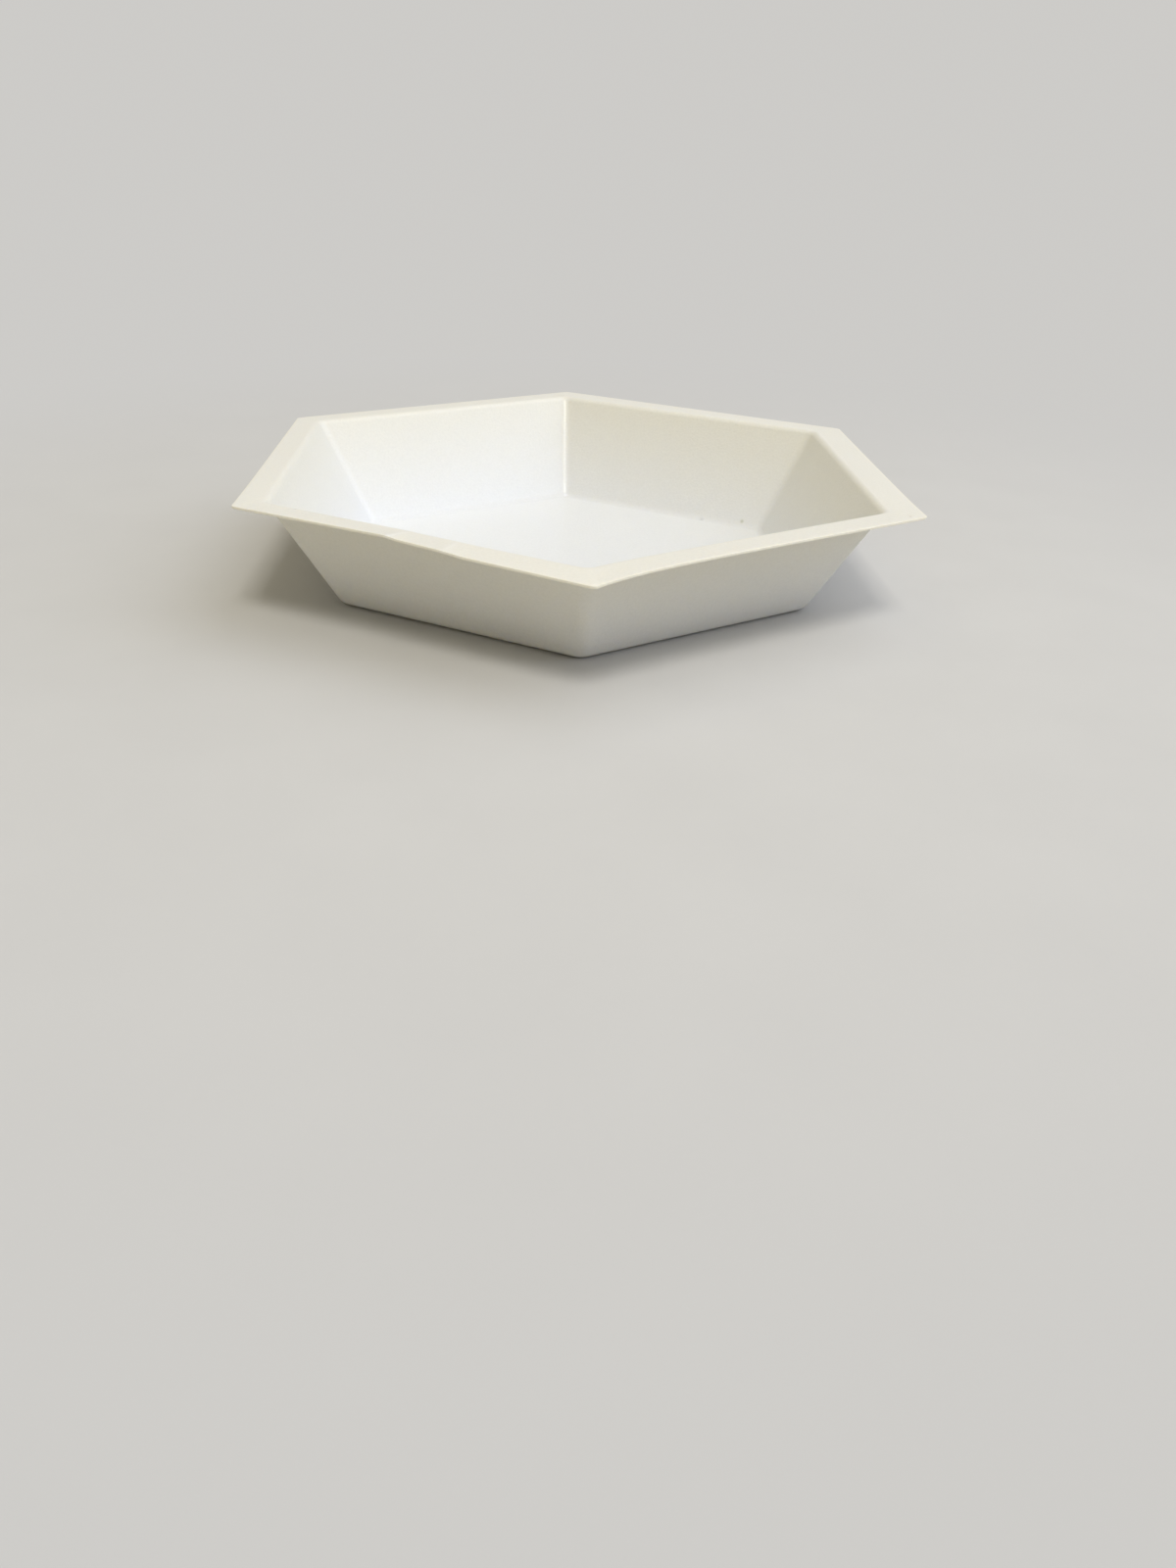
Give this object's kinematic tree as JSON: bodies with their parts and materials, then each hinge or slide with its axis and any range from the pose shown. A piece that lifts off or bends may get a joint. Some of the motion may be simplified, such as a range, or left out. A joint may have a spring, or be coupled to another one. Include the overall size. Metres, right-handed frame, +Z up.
{
  "type": "weighing boat",
  "caption": "Shallow hexagonal weighing boat of thin white polystyrene with a flat rim, sloping walls and a flat floor, for weighing and pouring powders.",
  "frame": {"origin": "middle of the flat base, on the surface that the boat stands on", "axes": "+Z up out of the bowl, the front corner of the hexagon towards -Y, +X to the right"},
  "size_m": [0.1212, 0.1395, 0.0217],
  "materials": {
    "polystyrene": "satin"
  },
  "bodies": {
    "root": {"weighing_boat": "polystyrene"}
  },
  "joints": []
}
